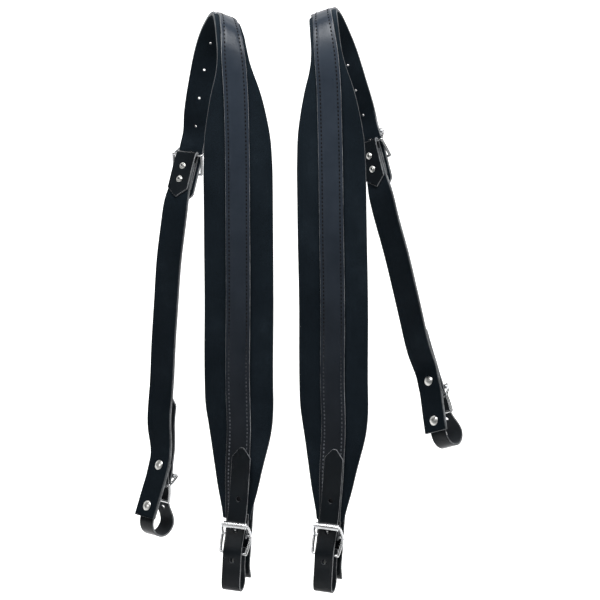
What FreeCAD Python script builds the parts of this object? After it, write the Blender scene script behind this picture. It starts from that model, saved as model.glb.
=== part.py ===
import FreeCAD, Part
import math
import os
from FreeCAD import Vector

# A pair of padded shoulder straps, hanging over their own arches.
# X runs across both straps, Y from the front pads to the back straps, Z up.
# The origin is the underside of the left strap's arch.

doc = FreeCAD.newDocument("shoulder_straps")
sheet = doc.addObject("Spreadsheet::Sheet", "dims")

DIMS = {
    # leather and cloth
    "pad_width": 71.0,
    "pad_tip_width": 31.0,
    "pad_neck_width": 29.5,
    "cover_thick": 2.0,
    "lining_thick": 1.8,
    "foam_thick": 7.0,
    "foam_margin": 5.0,
    "band_width": 25.0,
    "band_thick": 2.0,
    "adjust_width": 28.0,
    "adjust_thick": 3.0,
    "lower_width": 28.0,
    "lower_leather_thick": 2.1,
    "lower_lining_thick": 1.8,
    "tail_width": 28.0,
    "tail_thick": 3.0,
    "tab_width": 23.0,
    "tab_thick": 2.2,
    "loop_width": 19.5,
    "loop_thick": 2.2,
    "chape_width": 21.0,
    "chape_thick": 1.6,
    "layer_gap": 0.3,
    "flex_gap": 1.6,
    "hole_radius": 2.4,
    "hole_pitch": 30.0,
    # buckles
    "wire_radius": 1.5,
    "roller_radius": 3.3,
    "roller_bore_radius": 1.58,
    "roller_length": 23.0,
    "frame_half_width": 13.2,
    "frame_bulge": 1.6,
    "roller_out": 9.0,
    "roller_up": 11.5,
    "keeper_out": 8.5,
    "keeper_up": -17.0,
    "rear_half_width": 16.2,
    "rear_bulge": 0.5,
    "rear_roller_length": 29.0,
    "rear_keeper_out": 10.3,
    "rear_roller_out": 10.3,
    "eye_radius": 2.9,
    "eye_bore_radius": 1.58,
    "eye_length": 4.6,
    "tongue_radius": 1.1,
    "slot_width": 6.4,
    # rivets
    "big_rivet_radius": 5.3,
    "big_rivet_dome": 1.9,
    "small_rivet_radius": 3.4,
    "small_rivet_dome": 1.3,
    "shank_radius": 1.6,
}

for row, (alias, value) in enumerate(DIMS.items(), start=1):
    sheet.set("A%d" % row, alias)
    sheet.set("B%d" % row, str(value))
    sheet.setAlias("B%d" % row, alias)
doc.recompute()


def dim(alias):
    return float(sheet.get(alias))


# ---------------------------------------------------------------- placing

# the hanging layout is moved by this, so that the left arch's underside is the origin
REST = Vector(2.5, 0.4, -0.6)


class Seat:
    """Where a buckle's centre bar sits: across, out of the strap, and up along it."""

    def __init__(self, at, turn, tilt, lean, behind):
        a, b, c = math.radians(turn), math.radians(tilt), math.radians(lean)
        side = 1.0 if behind else -1.0
        level = Vector(math.cos(a), -math.sin(a), 0)
        away = Vector(math.sin(a), math.cos(a), 0) * side
        rise = Vector(0, 0, 1) * math.cos(b) + away * math.sin(b)
        self.at = Vector(*at) + REST
        self.out = away * math.cos(b) - Vector(0, 0, 1) * math.sin(b)
        self.across = level * math.cos(c) - rise * math.sin(c)
        self.up = rise * math.cos(c) + level * math.sin(c)
        x = self.across * (-side)
        y = self.out * -1.0
        z = self.up
        self.placement = FreeCAD.Placement(FreeCAD.Matrix(
            x.x, y.x, z.x, self.at.x,
            x.y, y.y, z.y, self.at.y,
            x.z, y.z, z.z, self.at.z,
            0, 0, 0, 1))

    def point(self, out, up):
        return self.at + self.out * out + self.up * up


class Course:
    """The line a strap follows, with the direction across it, measured in mm along it."""

    def __init__(self, stations, start):
        points = [p for p, _ in stations]
        marks = [start]
        for a, b in zip(points, points[1:]):
            marks.append(marks[-1] + (b - a).Length)
        self.marks = marks
        self.line = Part.BSplineCurve()
        self.line.interpolate(Points=points, Parameters=marks)
        self.sides = [w for _, w in stations]

    def side(self, s):
        marks = self.marks
        k = max(i for i in range(len(marks) - 1) if marks[i] <= s or i == 0)
        t = min(max((s - marks[k]) / (marks[k + 1] - marks[k]), 0.0), 1.0)
        t = t * t * (3 - 2 * t)
        return self.sides[k] * (1 - t) + self.sides[k + 1] * t

    def frame(self, s):
        here = self.line.value(s)
        along = self.line.tangent(s)[0]
        across = self.side(s)
        across = across - along * across.dot(along)
        across.normalize()
        return here, along, across, across.cross(along)


def station(x, y, z, turn, roll):
    a, b = math.radians(turn), math.radians(roll)
    across = Vector(math.cos(a) * math.cos(b), -math.sin(a) * math.cos(b), -math.sin(b))
    return Vector(x, y, z) + REST, across


def seated(seat, out, up):
    return seat.point(out, up), seat.across


def blend_table(table, s):
    """Smooth value at s through (s, value) rows, level at each row's extremes."""
    if s <= table[0][0]:
        return table[0][1]
    for (s0, v0), (s1, v1) in zip(table, table[1:]):
        if s <= s1:
            t = (s - s0) / (s1 - s0)
            return v0 + (v1 - v0) * t
    return table[-1][1]


# ---------------------------------------------------------------- solids

def feature(name, shape):
    made = doc.addObject("Part::Feature", name)
    made.Shape = shape
    return made


def ribbon(course, start, end, width, inner, outer, count):
    """A strap layer between two offsets from its course, lofted through count sections."""
    wires = []
    for i in range(count):
        s = start + (end - start) * i / (count - 1)
        here, along, across, out = course.frame(s)
        half = width(s) / 2
        low, high = inner(s), outer(s)
        corners = [
            here - across * half + out * low,
            here + across * half + out * low,
            here + across * half + out * high,
            here - across * half + out * high,
        ]
        wires.append(Part.makePolygon(corners + corners[:1]))
    return Part.makeLoft(wires, True, False)


def even(value):
    return lambda s: value


def strap_face(points, thick, samples):
    """The side view of a bent strap: its middle line through (out, up) points, thickened."""
    middle = Part.BSplineCurve()
    middle.interpolate([Vector(0, -out, up) for out, up in points])
    first, last = middle.FirstParameter, middle.LastParameter
    near, far = [], []
    for i in range(samples):
        t = first + (last - first) * i / (samples - 1)
        here = middle.value(t)
        along = middle.tangent(t)[0]
        normal = Vector(1, 0, 0).cross(along)
        near.append(here + normal * (thick / 2))
        far.append(here - normal * (thick / 2))
    one = Part.BSplineCurve()
    one.interpolate(near)
    two = Part.BSplineCurve()
    two.interpolate(far)
    edges = [
        one.toShape(),
        Part.makeLine(near[-1], far[-1]),
        two.toShape(),
        Part.makeLine(far[0], near[0]),
    ]
    return Part.Face(Part.Wire(Part.__sortEdges__(edges)))


def strap(name, points, thick, width, samples):
    """A bent strap, its width taken from the sheet."""
    face = feature(name + "_side", strap_face(points, thick, samples))
    body = doc.addObject("Part::Extrusion", name + "_strap")
    body.Base = face
    body.DirMode = "Custom"
    body.Dir = Vector(1, 0, 0)
    body.Symmetric = True
    body.Solid = True
    body.setExpression("LengthFwd", "dims." + width)
    return body


def rod(name, radius, length, at, axis):
    made = doc.addObject("Part::Cylinder", name)
    made.setExpression("Radius", "dims." + radius)
    if isinstance(length, str):
        made.setExpression("Height", length)
    else:
        made.Height = length
    made.Placement = FreeCAD.Placement(at, FreeCAD.Rotation(Vector(0, 0, 1), axis))
    return made


def cut(name, base, tools):
    made = doc.addObject("Part::Cut", name)
    made.Base = base
    if len(tools) == 1:
        made.Tool = tools[0]
    else:
        group = doc.addObject("Part::MultiFuse", name + "_tools")
        group.Shapes = tools
        made.Tool = group
    return made


def fuse(name, shapes):
    made = doc.addObject("Part::MultiFuse", name)
    made.Shapes = shapes
    return made


def wedge(name, corners, depth, axis):
    """A flat cutter: a polygon pushed through along an axis, both ways."""
    face = Part.Face(Part.makePolygon(corners + corners[:1]))
    face.translate(axis * (-depth / 2))
    return feature(name, face.extrude(axis * depth))


def tip_cutters(name, course, half, length, point):
    """Two wedges that cut the far end of a strap to a blunt point."""
    here, along, across, out = course.frame(course.marks[-1])
    tools = []
    for i, sign in enumerate((-1, 1)):
        corners = [
            here + across * (sign * (half + 1)) - along * length,
            here + across * (sign * (half + 1)) + along * 2.0,
            here + across * (sign * point) + along * 2.0,
            here + across * (sign * point),
        ]
        tools.append(wedge("%s_%d" % (name, i), corners, 30, out))
    return tools


nodes = {}


def finish(label, made, placement=None):
    made.Label = label
    if placement is not None:
        made.Placement = placement
    nodes[label] = made
    return made


# ---------------------------------------------------------------- shared hardware

def side_wires(name, roller, keeper, half, bulge):
    """The two bowed sides of a buckle, from the roller's bar past the centre bar to the keeper."""
    radius = dim("wire_radius")
    solids = []
    for sign in (-1, 1):
        top = Vector(sign * half, -roller[0], roller[1])
        bar = Vector(sign * (half + bulge), 0, 0)
        low = Vector(sign * half, -keeper[0], keeper[1])
        for end in (top, low):
            middle = (bar + end) * 0.5 + Vector(sign * bulge * 0.35, 0, 0)
            arc = Part.Arc(bar, middle, end).toShape()
            start = arc.tangentAt(arc.FirstParameter)
            ring = Part.Wire(Part.makeCircle(radius, bar, start))
            solids.append(Part.Wire(arc).makePipeShell([ring], True, False))
            solids.append(Part.makeSphere(radius, end))
        solids.append(Part.makeSphere(radius, bar))
    whole = solids[0].fuse(solids[1:])
    return feature(name, whole)


def buckle(label, seat, roller, keeper, half_width, bulge_by, roller_length):
    """A roller buckle with its frame, its loose roller, and the bar across its middle."""
    half, bulge = dim(half_width), dim(bulge_by)
    x = Vector(1, 0, 0)
    sides = side_wires(label + "_sides", roller, keeper, half, bulge)
    top = rod(label + "_roller_bar", "wire_radius", "2 * dims." + half_width,
              Vector(-half, -roller[0], roller[1]), x)
    low = rod(label + "_keeper_bar", "wire_radius", "2 * dims." + half_width,
              Vector(-half, -keeper[0], keeper[1]), x)
    mid = rod(label + "_centre_bar", "wire_radius", "2 * (dims.%s + dims.%s)" % (half_width, bulge_by),
              Vector(-half - bulge, 0, 0), x)
    finish(label + "_frame", fuse(label + "_frame", [sides, top, low, mid]), seat.placement)

    start = Vector(-dim(roller_length) / 2, -roller[0], roller[1])
    skin = rod(label + "_roller_skin", "roller_radius", "dims." + roller_length, start, x)
    bore = rod(label + "_roller_bore", "roller_bore_radius", "dims." + roller_length, start, x)
    finish(label + "_roller", cut(label + "_roller", skin, [bore]), seat.placement)


def tongue(label, seat, direction, reach):
    """The buckle's tongue: an eye round the centre bar and a plain pin with a rounded tip."""
    x = Vector(1, 0, 0)
    out, up = direction
    size = math.hypot(out, up)
    along = Vector(0, -out / size, up / size)
    start = Vector(-dim("eye_length") / 2, 0, 0)
    eye = rod(label + "_eye", "eye_radius", "dims.eye_length", start, x)
    pin = rod(label + "_pin", "tongue_radius", reach - 2.0, along * 2.0, along)
    tip = doc.addObject("Part::Sphere", label + "_tip")
    tip.setExpression("Radius", "dims.tongue_radius")
    tip.Placement.Base = along * reach
    bore = rod(label + "_eye_bore", "eye_bore_radius", "dims.eye_length", start, x)
    whole = fuse(label + "_whole", [eye, pin, tip])
    finish(label, cut(label, whole, [bore]), seat.placement)


def rivet(name, at, head, radius, dome, flange):
    """A rivet along the strap's thickness: domed head on the inner face, flat end outside."""
    # local Y points to the inner face, so the dome grows along +Y
    inner = Vector(0, at[0], at[1])
    shank = rod(name + "_shank", "shank_radius", at[2], inner - Vector(0, at[2], 0), Vector(0, 1, 0))
    cap_radius = dim(radius)
    rise = dim(dome)
    ball_radius = (cap_radius ** 2 + rise ** 2) / (2 * rise)
    ball = Part.makeSphere(ball_radius, inner + Vector(0, rise - ball_radius, 0))
    block = Part.makeBox(40, 40, 40, inner + Vector(-20, 0, -20))
    cap = feature(name + "_cap", ball.common(block))
    end = rod(name + "_end", flange, head, inner - Vector(0, at[2], 0), Vector(0, -1, 0))
    return [shank, cap, end]


# ---------------------------------------------------------------- the strap ends

def loop_points(bottom_out, bottom_up, radius):
    """Middle line of a bracket loop's strap from its riveted end to above the roller."""
    back, front = bottom_out - radius, bottom_out + radius
    return [
        (-3.5, -13.0),
        (-3.5, -24.0),
        (-3.5 * 0.97 + back * 0.03, -32.0),
        (back, bottom_up + radius),
        (bottom_out - radius * 0.72, bottom_up + radius * 0.30),
        (bottom_out, bottom_up),
        (bottom_out + radius * 0.72, bottom_up + radius * 0.30),
        (front, bottom_up + radius),
        (front * 0.45 + 11.8 * 0.55, (bottom_up + radius) * 0.4 - 17.0 * 0.6),
        (11.7, -17.0),
        (9.6, -7.0),
        (7.2, 0.0),
        (5.2, 6.1),
        (4.2, 11.5),
    ]


def strap_end(label, seat, bottom, upper, inner):
    """Buckle, chape, loop strap and rivets at one end of a strap whose inner face is at inner."""
    roller = (dim("roller_out"), dim("roller_up"))
    keeper = (dim("keeper_out"), dim("keeper_up"))
    buckle(label + "_buckle", seat, roller, keeper, "frame_half_width", "frame_bulge",
           "roller_length")
    tongue(label + "_buckle_tongue", seat, (6.8, 7.2), 8.6)

    stations = [seated(seat, out, up) for out, up in loop_points(*bottom)] + upper
    course = Course(stations, 0.0)
    thick = dim("loop_thick")
    loop = feature(label + "_loop", ribbon(
        course, 0.0, course.marks[-1], even(dim("loop_width")), even(-thick / 2),
        even(thick / 2), 80))
    cutters = tip_cutters(label + "_loop_tip", course, dim("loop_width") / 2, 10.5, 1.5)
    # the tongue's own hole, one below the buckle and one above it
    for i, mark in enumerate((course.marks[12], course.marks[9] - 7.0, course.marks[15])):
        here, along, across, out = course.frame(mark)
        cutters.append(rod("%s_loop_hole_%d" % (label, i), "hole_radius", 11.0,
                           here - out * 5.5, out))
    low_rivet = rod(label + "_loop_rivet_hole", "shank_radius", 12.0, Vector(0, 0, -27.0),
                    Vector(0, 1, 0))
    low_rivet.Placement = seat.placement.multiply(low_rivet.Placement)
    finish(label + "_loop_strap", cut(label + "_loop_strap", loop, cutters + [low_rivet]))

    chape_points = [
        (-4.1, 22.0), (-4.1, 15.0), (-4.0, 9.0), (-3.3, 4.0), (-2.5, 0.0), (-1.77, -1.77),
        (0.0, -2.5), (1.77, -1.77), (2.5, 0.0), (2.1, 2.4), (0.2, 6.5), (-1.7, 10.5),
        (-2.3, 15.0), (-2.3, 22.0),
    ]
    chape = strap(label + "_chape_fold", chape_points, dim("chape_thick"), "chape_width", 90)
    slot = doc.addObject("Part::Box", label + "_chape_slot")
    slot.setExpression("Length", "dims.slot_width")
    slot.Width = 7.0
    slot.Height = 12.0
    slot.Placement.Base = Vector(-dim("slot_width") / 2, -4.2, -4.0)
    under = doc.addObject("Part::Box", label + "_chape_slot_under")
    under.setExpression("Length", "dims.slot_width")
    under.Width = 5.0
    under.Height = 7.6
    under.Placement.Base = Vector(-dim("slot_width") / 2, 0.0, -4.0)
    shank_hole = rod(label + "_chape_hole", "shank_radius", 12.0, Vector(0, -2, 18.0),
                     Vector(0, 1, 0))
    finish(label + "_chape", cut(label + "_chape", chape, [slot, under, shank_hole]), seat.placement)

    # two rivets through the strap: the upper one holds the chape, the lower one the loop
    upper_rivet = rivet(label + "_upper_rivet", (inner, 18.0, inner - 1.4), 0.9, "big_rivet_radius",
                        "big_rivet_dome", "small_rivet_radius")
    lower_rivet = rivet(label + "_lower_rivet", (inner, -27.0, inner - 2.0), 0.9, "big_rivet_radius",
                        "big_rivet_dome", "small_rivet_radius")
    both = fuse(label + "_rivets", upper_rivet + lower_rivet)
    finish(label + "_rivets", both, seat.placement)


def shank_cutters(name, seat):
    """Clearance for the two rivet shanks, already in place, for straps that aren't seated."""
    tools = []
    for i, up in enumerate((18.0, -27.0)):
        tool = rod("%s_shank_%d" % (name, i), "shank_radius", 16.0, Vector(0, 1, up),
                   Vector(0, 1, 0))
        tool.Placement = seat.placement.multiply(tool.Placement)
        tools.append(tool)
    return tools


# ---------------------------------------------------------------- one strap

def build_side(side, pad, front, rear, end, over_arch, down_back, free_end):
    cover, lining = dim("cover_thick"), dim("lining_thick")
    gap = dim("layer_gap")
    level = -2.8

    # the front pad, the arch and the adjusting strap share one course
    stations = [seated(pad, level, up) for up in (23.0, 50.0, 80.0, 110.0)]
    stations += [station(*row) for row in over_arch]
    stations += [seated(rear, out, up) for out, up in
                 ((4.2, 23.0), (4.4, 11.5), (6.0, 0.0), (6.1, -10.0), (6.1, -24.0), (6.1, -52.0))]
    course = Course(stations, 23.0)
    arch = course.marks[4 + ARCH_ROW]
    flex = arch + 9.0
    rear_bar = course.marks[-4]

    neck = arch - 62.0
    pad_widths = [
        (23.0, dim("pad_tip_width")), (49.0, 43.5), (66.0, 49.5), (90.0, 59.5),
        (105.0, 65.5), (118.0, 69.0), (136.0, dim("pad_width")), (370.0, dim("pad_width") - 1.5),
        (neck - 82.0, 66.8), (neck - 60.0, 60.0), (neck - 34.0, 49.0), (neck - 14.0, 36.0),
        (neck + 2.0, dim("pad_neck_width") + 1.0), (neck + 20.0, dim("pad_neck_width")),
        (flex, dim("pad_neck_width") - 0.5),
    ]

    def pad_width(s):
        return blend_table(pad_widths, s)

    foam_start, foam_end = 44.0, neck - 12.0
    thin = dim("tail_thick")

    def foam_depth(s):
        rows = [(foam_start, thin), (80.0, dim("foam_thick") * 0.82), (120.0, dim("foam_thick")),
                (foam_end - 90.0, dim("foam_thick")), (foam_end, thin)]
        return blend_table(rows, s)

    def lining_top(s):
        rows = [(23.0, thin), (foam_start, thin), (foam_end, thin), (foam_end + 34.0, 0.0)]
        depth = foam_depth(s) if foam_start <= s <= foam_end else blend_table(rows, s)
        return -cover - gap - depth - gap

    stop = flex - dim("flex_gap") / 2
    finish(side + "_pad_cover", feature(side + "_pad_cover", ribbon(
        course, 23.0, stop, pad_width, even(-cover), even(0.0), 46)))
    finish(side + "_pad_foam", feature(side + "_pad_foam", ribbon(
        course, foam_start, foam_end,
        lambda s: pad_width(s) - 2 * dim("foam_margin"),
        lambda s: -cover - gap - foam_depth(s), even(-cover - gap), 34)))
    pad_lining = feature(side + "_pad_lining_sheet", ribbon(
        course, 24.0, stop, lambda s: pad_width(s) - 0.6,
        lambda s: lining_top(s) - lining, lining_top, 46))
    finish(side + "_pad_lining", pad_lining)

    band_widths = [(23.0, 22.0), (60.0, dim("band_width")), (neck, dim("band_width") - 1.0),
                   (neck + 40.0, 19.5), (stop, 19.0)]
    finish(side + "_centre_band", feature(side + "_centre_band", ribbon(
        course, 23.4, stop, lambda s: blend_table(band_widths, s),
        even(gap), even(gap + dim("band_thick")), 46)))

    # the adjusting strap carries on behind the arch, down through the rear buckle
    thick = dim("adjust_thick")
    outer = gap + dim("band_thick")
    last = course.marks[-1]
    adjust = feature(side + "_adjust_strip", ribbon(
        course, flex + dim("flex_gap") / 2, last, even(dim("adjust_width")),
        even(outer - thick), even(outer), 58))
    tools = tip_cutters(side + "_adjust_tip", course, dim("adjust_width") / 2, 11.0, 4.0)
    hole = rear_bar - 3.6
    for i in range(6):
        here, along, across, out = course.frame(hole - i * dim("hole_pitch"))
        if hole - i * dim("hole_pitch") > flex + 8:
            tools.append(rod("%s_adjust_hole_%d" % (side, i), "hole_radius", 12.0,
                             here - out * 6.0, out))
    finish(side + "_adjusting_strap", cut(side + "_adjusting_strap", adjust, tools))

    # the tail under the front buckle
    tail_points = [(-6.6, 39.0), (-6.6, 20.0), (-6.6, 0.0), (-6.6, -18.0), (-6.6, -31.0),
                   (-9.7, -39.0), (-13.6, -45.0)]
    tail = strap(side + "_tail", tail_points, dim("tail_thick"), "tail_width", 50)
    shanks = [rod("%s_tail_shank_%d" % (side, i), "shank_radius", 16.0, Vector(0, 1, up),
                  Vector(0, 1, 0)) for i, up in enumerate((18.0, -27.0))]
    finish(side + "_tail_strap", cut(side + "_tail_strap", tail, shanks), front.placement)
    strap_end(side + "_front", front, (1.3, -56.4, 8.9),
              [seated(front, out, up) for out, up in
               ((2.4, 24.0), (1.0, 37.0), (0.9, 50.0), (0.9, 90.0))], 8.3)

    # the rear buckle and its tab
    roller = (dim("rear_roller_out"), dim("roller_up"))
    keeper = (dim("rear_keeper_out"), dim("keeper_up"))
    buckle(side + "_rear_buckle", rear, roller, keeper, "rear_half_width", "rear_bulge",
           "rear_roller_length")
    tongue(side + "_rear_buckle_tongue", rear, (11.9, 6.6), 15.2)
    tab_points = [
        (-3.7, -47.0), (-3.7, -30.0), (-3.7, -15.0), (-3.4, -6.0), (-2.8, 0.0), (-1.98, 1.98),
        (0.0, 2.8), (1.98, 1.98), (2.8, 0.0), (3.4, -6.0), (3.7, -15.0), (3.7, -36.0),
    ]
    fold = strap(side + "_tab_fold", tab_points, dim("tab_thick"), "tab_width", 110)
    half = dim("tab_width") / 2
    cutters = []
    for i, sign in enumerate((-1, 1)):
        corners = [
            Vector(sign * (half + 1), 0, -37.6),
            Vector(sign * (half + 1), 0, -49.0),
            Vector(0, 0, -49.0),
            Vector(0, 0, -47.0),
            Vector(sign * half, 0, -38.5),
        ]
        cutters.append(wedge("%s_tab_tip_%d" % (side, i), corners, 30, Vector(0, 1, 0)))
    slot = doc.addObject("Part::Box", side + "_tab_slot")
    slot.setExpression("Length", "dims.slot_width")
    slot.Width = 8.4
    slot.Height = 9.0
    slot.Placement.Base = Vector(-dim("slot_width") / 2, -4.8, -3.6)
    cutters.append(slot)
    for i, up in enumerate((-13.5, -28.0)):
        cutters.append(rod("%s_tab_hole_%d" % (side, i), "shank_radius", 14.0,
                           Vector(0, -7, up), Vector(0, 1, 0)))
    finish(side + "_rear_tab", cut(side + "_rear_tab", fold, cutters), rear.placement)
    studs = rivet(side + "_rear_rivet_0", (4.9, -13.5, 9.75), 0.12, "small_rivet_radius",
                  "small_rivet_dome", "small_rivet_radius")
    studs += rivet(side + "_rear_rivet_1", (4.9, -28.0, 9.75), 0.12, "small_rivet_radius",
                   "small_rivet_dome", "small_rivet_radius")
    finish(side + "_rear_rivets", fuse(side + "_rear_rivets", studs), rear.placement)

    # the lower strap, leather outside and cloth inside, down to the bracket end
    stations = [seated(rear, 0.0, up) for up in (-8.0, -20.0, -34.0, -47.0)]
    stations += [station(*row) for row in down_back]
    stations += [seated(end, -7.7, up) for up in (24.0, 16.0, 6.0, -10.0, -25.0, -39.0)]
    lower = Course(stations, 8.0)
    finish_mark = lower.marks[-1]
    rear_shanks = []
    for i, up in enumerate((-13.5, -28.0)):
        tool = rod("%s_lower_hole_%d" % (side, i), "shank_radius", 14.0, Vector(0, -7, up),
                   Vector(0, 1, 0))
        tool.Placement = rear.placement.multiply(tool.Placement)
        rear_shanks.append(tool)

    def lower_width(s):
        return blend_table([(8.0, 22.0), (30.0, 22.0), (52.0, dim("lower_width")),
                            (finish_mark, dim("lower_width"))], s)

    for part, low, high in (
        ("lower_strap", 0.1, 0.1 + dim("lower_leather_thick")),
        ("lower_strap_lining", -0.1 - dim("lower_lining_thick"), -0.1),
    ):
        label = side + "_" + part
        strip = feature(label + "_strip", ribbon(
            lower, 8.0, finish_mark, lower_width, even(low), even(high), 58))
        tools = shank_cutters(label, end)
        if part == "lower_strap":
            tools += rear_shanks
        else:
            for i, up in enumerate((-13.5, -28.0)):
                tool = rod("%s_rear_%d" % (label, i), "shank_radius", 14.0, Vector(0, -7, up),
                           Vector(0, 1, 0))
                tool.Placement = rear.placement.multiply(tool.Placement)
                tools.append(tool)
        finish(label, cut(label, strip, tools))

    # the loop's free end lies along the back of the lower strap, a little to one side
    beside = []
    for above, clear, shift in free_end:
        here, along, across, out = lower.frame(finish_mark - 39.0 - above)
        beside.append((here + out * clear + across * shift, across))
    strap_end(side + "_end", end, (12.3, -54.0, 16.0), beside, 9.75)


# ---------------------------------------------------------------- how each strap hangs

# rows: x, y, z, turn about the vertical, roll of the line across the strap
ARCH_ROW = 10
LEFT_ARCH = [
    (10.0, -39.7, -378.0, 12.0, 0.0),
    (10.5, -39.7, -300.0, 9.0, 0.0),
    (11.0, -39.7, -210.0, 6.0, 0.0),
    (11.1, -39.7, -140.0, 3.0, 0.0),
    (10.4, -39.7, -90.0, -1.0, 0.0),
    (9.2, -39.6, -60.0, -5.0, 3.0),
    (7.6, -38.3, -38.0, -9.0, 8.0),
    (5.8, -34.0, -19.5, -13.0, 13.0),
    (3.5, -25.0, -5.0, -17.0, 17.0),
    (1.4, -12.5, 2.3, -19.0, 19.0),
    (-1.2, 0.0, 4.4, -20.0, 20.0),
    (-5.2, 13.5, 2.4, -20.0, 18.0),
    (-10.8, 27.0, -5.0, -16.0, 12.0),
    (-16.8, 38.0, -17.5, -10.0, 6.0),
    (-22.4, 46.5, -36.0, -4.0, 2.0),
    (-28.2, 53.0, -63.0, 4.0, 0.0),
    (-33.4, 58.5, -92.0, 14.0, 0.0),
]
LEFT_BACK = [
    (-57.5, 37.5, -202.0, 26.0, 0.0),
    (-63.0, 43.0, -241.0, 27.0, 0.0),
    (-67.3, 53.0, -287.0, 28.0, 0.0),
    (-71.6, 63.0, -338.0, 28.0, 0.0),
    (-75.0, 72.5, -385.0, 29.0, 0.0),
    (-78.0, 79.5, -425.0, 30.0, 0.0),
]
RIGHT_ARCH = [
    (105.3, -39.7, -378.0, 14.0, 0.0),
    (105.4, -39.7, -300.0, 11.0, 0.0),
    (104.5, -39.7, -210.0, 8.0, 0.0),
    (103.8, -39.7, -140.0, 7.0, 0.0),
    (102.8, -39.7, -90.0, 6.0, 0.0),
    (101.8, -39.6, -60.0, 6.0, -3.0),
    (100.2, -38.3, -38.0, 7.0, -7.0),
    (98.4, -34.0, -18.0, 8.0, -11.0),
    (96.9, -25.0, -2.0, 9.0, -15.0),
    (96.4, -12.5, 6.0, 10.0, -17.0),
    (97.2, 0.0, 8.3, 11.0, -18.0),
    (99.4, 13.5, 7.2, 11.0, -17.0),
    (103.4, 27.0, 2.6, 10.0, -14.0),
    (109.0, 41.0, -7.6, 9.0, -12.0),
    (116.0, 54.0, -23.0, 10.0, -12.0),
    (124.0, 66.0, -45.0, 13.0, -13.0),
    (132.4, 78.0, -71.0, 19.0, -15.0),
]
RIGHT_BACK = [
    (162.5, 76.0, -198.0, 34.0, -16.0),
    (172.6, 88.0, -234.0, 33.0, -12.0),
    (183.6, 109.0, -277.0, 32.0, -8.0),
    (194.0, 133.0, -320.0, 31.0, -8.0),
    (204.0, 154.0, -358.0, 30.0, -12.0),
]

build_side(
    "left",
    pad=Seat((5.3, -41.8, -516.0), 16.0, 0.0, 2.5, False),
    front=Seat((7.3, -42.4, -516.0), 16.0, 0.0, 4.2, False),
    rear=Seat((-43.6, 54.0, -135.6), 25.0, 22.0, 4.0, True),
    end=Seat((-78.4, 82.8, -486.7), 40.0, 21.0, 3.5, True),
    over_arch=LEFT_ARCH, down_back=LEFT_BACK,
    free_end=[(24.0, 9.3, 0.6), (38.0, 8.6, 2.2), (56.0, 8.6, 4.0), (96.0, 9.0, 5.5)])
build_side(
    "right",
    pad=Seat((100.0, -42.3, -518.0), 17.0, 0.0, 2.8, False),
    front=Seat((100.2, -42.4, -518.0), 17.0, 0.0, 4.4, False),
    rear=Seat((145.4, 84.0, -126.4), 35.0, 6.0, -20.0, True),
    end=Seat((221.7, 165.0, -408.4), 40.0, 12.0, -18.0, True),
    over_arch=RIGHT_ARCH, down_back=RIGHT_BACK,
    free_end=[(24.0, 9.6, 0.4), (38.0, 8.6, 1.6), (58.0, 7.6, 2.8), (96.0, 5.0, 3.2)])

# ---------------------------------------------------------------- checks and export

doc.recompute()
for made in doc.Objects:
    if "Invalid" in made.State or "Error" in made.State:
        raise RuntimeError("%s is %s" % (made.Label, made.State))
    if hasattr(made, "Shape") and (made.Shape.isNull() or not made.Shape.isValid()):
        raise RuntimeError("%s has a bad shape" % made.Label)

os.makedirs("parts", exist_ok=True)
for label, made in nodes.items():
    shape = made.Shape
    if len(shape.Solids) == 0 or shape.Volume <= 0:
        raise RuntimeError("%s has no solid" % label)
    shape.exportStep("parts/%s.step" % label)
    print("%-28s %d solid(s) %9.1f mm3" % (label, len(shape.Solids), shape.Volume))
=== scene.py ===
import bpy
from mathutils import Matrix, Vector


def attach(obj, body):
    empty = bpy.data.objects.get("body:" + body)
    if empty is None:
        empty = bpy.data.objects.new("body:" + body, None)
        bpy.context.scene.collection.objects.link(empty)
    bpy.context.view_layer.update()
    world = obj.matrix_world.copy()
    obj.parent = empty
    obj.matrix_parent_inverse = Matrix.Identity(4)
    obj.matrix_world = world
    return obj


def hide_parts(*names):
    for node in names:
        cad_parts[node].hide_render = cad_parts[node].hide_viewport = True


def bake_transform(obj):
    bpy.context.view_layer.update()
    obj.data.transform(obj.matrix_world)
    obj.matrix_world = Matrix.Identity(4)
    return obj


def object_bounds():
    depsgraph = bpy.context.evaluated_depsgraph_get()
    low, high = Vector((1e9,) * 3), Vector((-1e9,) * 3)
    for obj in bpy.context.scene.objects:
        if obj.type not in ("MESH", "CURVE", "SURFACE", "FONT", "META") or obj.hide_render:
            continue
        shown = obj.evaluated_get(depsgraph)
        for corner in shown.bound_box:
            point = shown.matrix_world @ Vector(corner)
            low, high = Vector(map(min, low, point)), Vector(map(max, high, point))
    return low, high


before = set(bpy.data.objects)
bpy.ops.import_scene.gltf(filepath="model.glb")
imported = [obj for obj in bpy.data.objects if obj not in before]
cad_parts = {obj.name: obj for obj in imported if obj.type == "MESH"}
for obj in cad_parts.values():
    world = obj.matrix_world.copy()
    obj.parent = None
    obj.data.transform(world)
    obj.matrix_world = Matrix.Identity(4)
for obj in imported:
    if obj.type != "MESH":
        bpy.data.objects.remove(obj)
cad_box = [list(corner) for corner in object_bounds()]

import math
import random
import bmesh
import bpy
import numpy as np
from mathutils import Matrix, Vector

# A pair of accordion shoulder straps. Lengths are in millimetres, as in the CAD, unless a
# comment says otherwise; M turns them into metres. ORIGIN moves the rows and seats below so
# that the frame's origin lies under the left arch.
M = 0.001
ORIGIN = np.array([2.5, 0.4, -0.6])
rng = random.Random(7)


# ------------------------------------------------------------------ camera

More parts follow.
